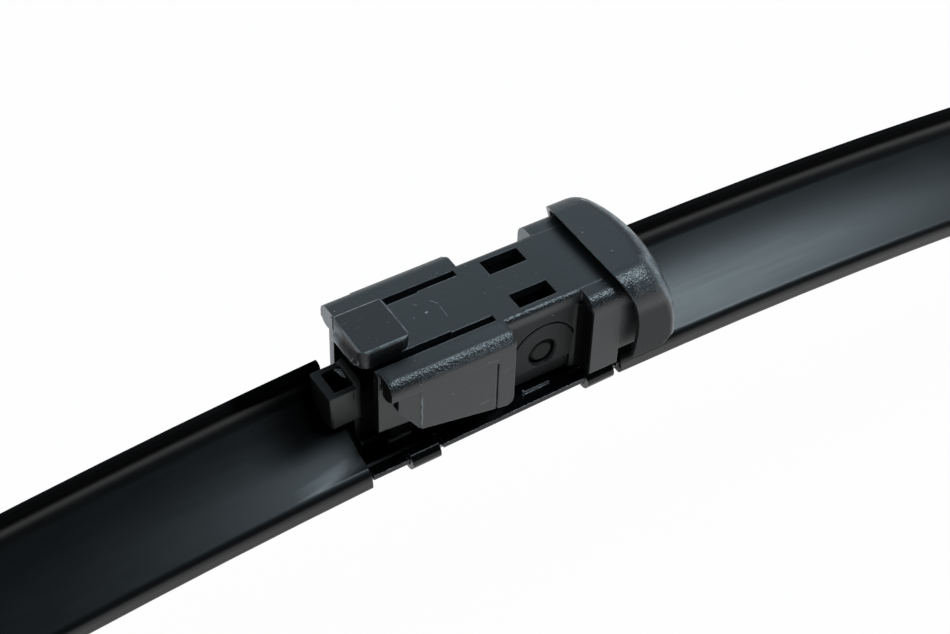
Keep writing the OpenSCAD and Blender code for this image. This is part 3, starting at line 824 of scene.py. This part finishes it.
class WIPER_OT_stage(bpy.types.Operator):
    """Set up the camera, the floor, the surroundings and the lamps"""

    bl_idname = "wiper.stage"
    bl_label = "Stage"

    # Name, place, direction of the first side, lengths of both sides, and power in watts
    lamps = (
        ("overhead softbox", (0.4, -0.15, 0.79), (0.5, -0.25, -0.28), (0.5, 0.3), 4.2),
        ("back softbox", (0.4, 1.1, 0.75), (1, -0.36, 0), (1.0, 0.5), 2.0),
    )

    def execute(self, context):
        stage = context.scene.wiper_stage
        self.place_camera(context.scene, stage)
        deselect_all()
        bpy.ops.mesh.primitive_plane_add(size=stage.floor_size, location=(0, 0, cad_box[0].z - FLOOR_GAP))
        floor = context.object
        floor.name = "floor"
        floor.data.materials.append(floor_material())
        build_world()
        for lamp in self.lamps:
            add_lamp(*lamp, stage.lamp_colour)
        context.scene.view_settings.view_transform = "Standard"
        return {"FINISHED"}

    def place_camera(self, scene, stage):
        deselect_all()
        bpy.ops.object.camera_add()
        camera = bpy.context.object
        camera.name = "photo camera"
        flat = math.cos(stage.elevation)
        back = Vector(
            (math.sin(stage.azimuth) * flat, -math.cos(stage.azimuth) * flat, math.sin(stage.elevation))
        )
        camera.location = Vector(stage.look_at) + back * stage.distance
        camera.rotation_mode = "QUATERNION"
        roll = Matrix.Rotation(stage.roll, 4, back).to_quaternion()
        camera.rotation_quaternion = roll @ (-back).to_track_quat("-Z", "Y")
        camera.data.sensor_width = 36
        camera.data.lens = stage.lens
        camera.data.clip_start = 0.01
        camera.data.clip_end = 20
        scene.camera = camera


class WIPER_PT_panel(bpy.types.Panel):
    """Settings and steps of the wiper blade's looks"""

    bl_label = "Wiper Blade"
    bl_idname = "WIPER_PT_panel"
    bl_space_type = "VIEW_3D"
    bl_region_type = "UI"
    bl_category = "Wiper Blade"

    def draw(self, context):
        for group in SETTINGS:
            box = self.layout.box()
            settings = getattr(context.scene, group)
            for name in settings.__annotations__:
                box.prop(settings, name)
        for operator in OPERATORS:
            self.layout.operator(operator.bl_idname)


SETTINGS = {
    "wiper_plastic": WiperPlasticSettings,
    "wiper_rubber": WiperRubberSettings,
    "wiper_bow": WiperBowSettings,
    "wiper_steel": WiperSteelSettings,
    "wiper_stage": WiperStageSettings,
}
OPERATORS = (WIPER_OT_adapter, WIPER_OT_joint, WIPER_OT_blade, WIPER_OT_stage)
CLASSES = (*SETTINGS.values(), *OPERATORS, WIPER_PT_panel)


def register():
    for cls in CLASSES:
        bpy.utils.register_class(cls)
    for name, group in SETTINGS.items():
        setattr(bpy.types.Scene, name, PointerProperty(type=group))


def unregister():
    for name in SETTINGS:
        delattr(bpy.types.Scene, name)
    for cls in reversed(CLASSES):
        bpy.utils.unregister_class(cls)


def main():
    register()
    bpy.ops.wiper.adapter()
    bpy.ops.wiper.joint()
    bpy.ops.wiper.blade()
    bpy.ops.wiper.stage()


if __name__ == "__main__":
    main()
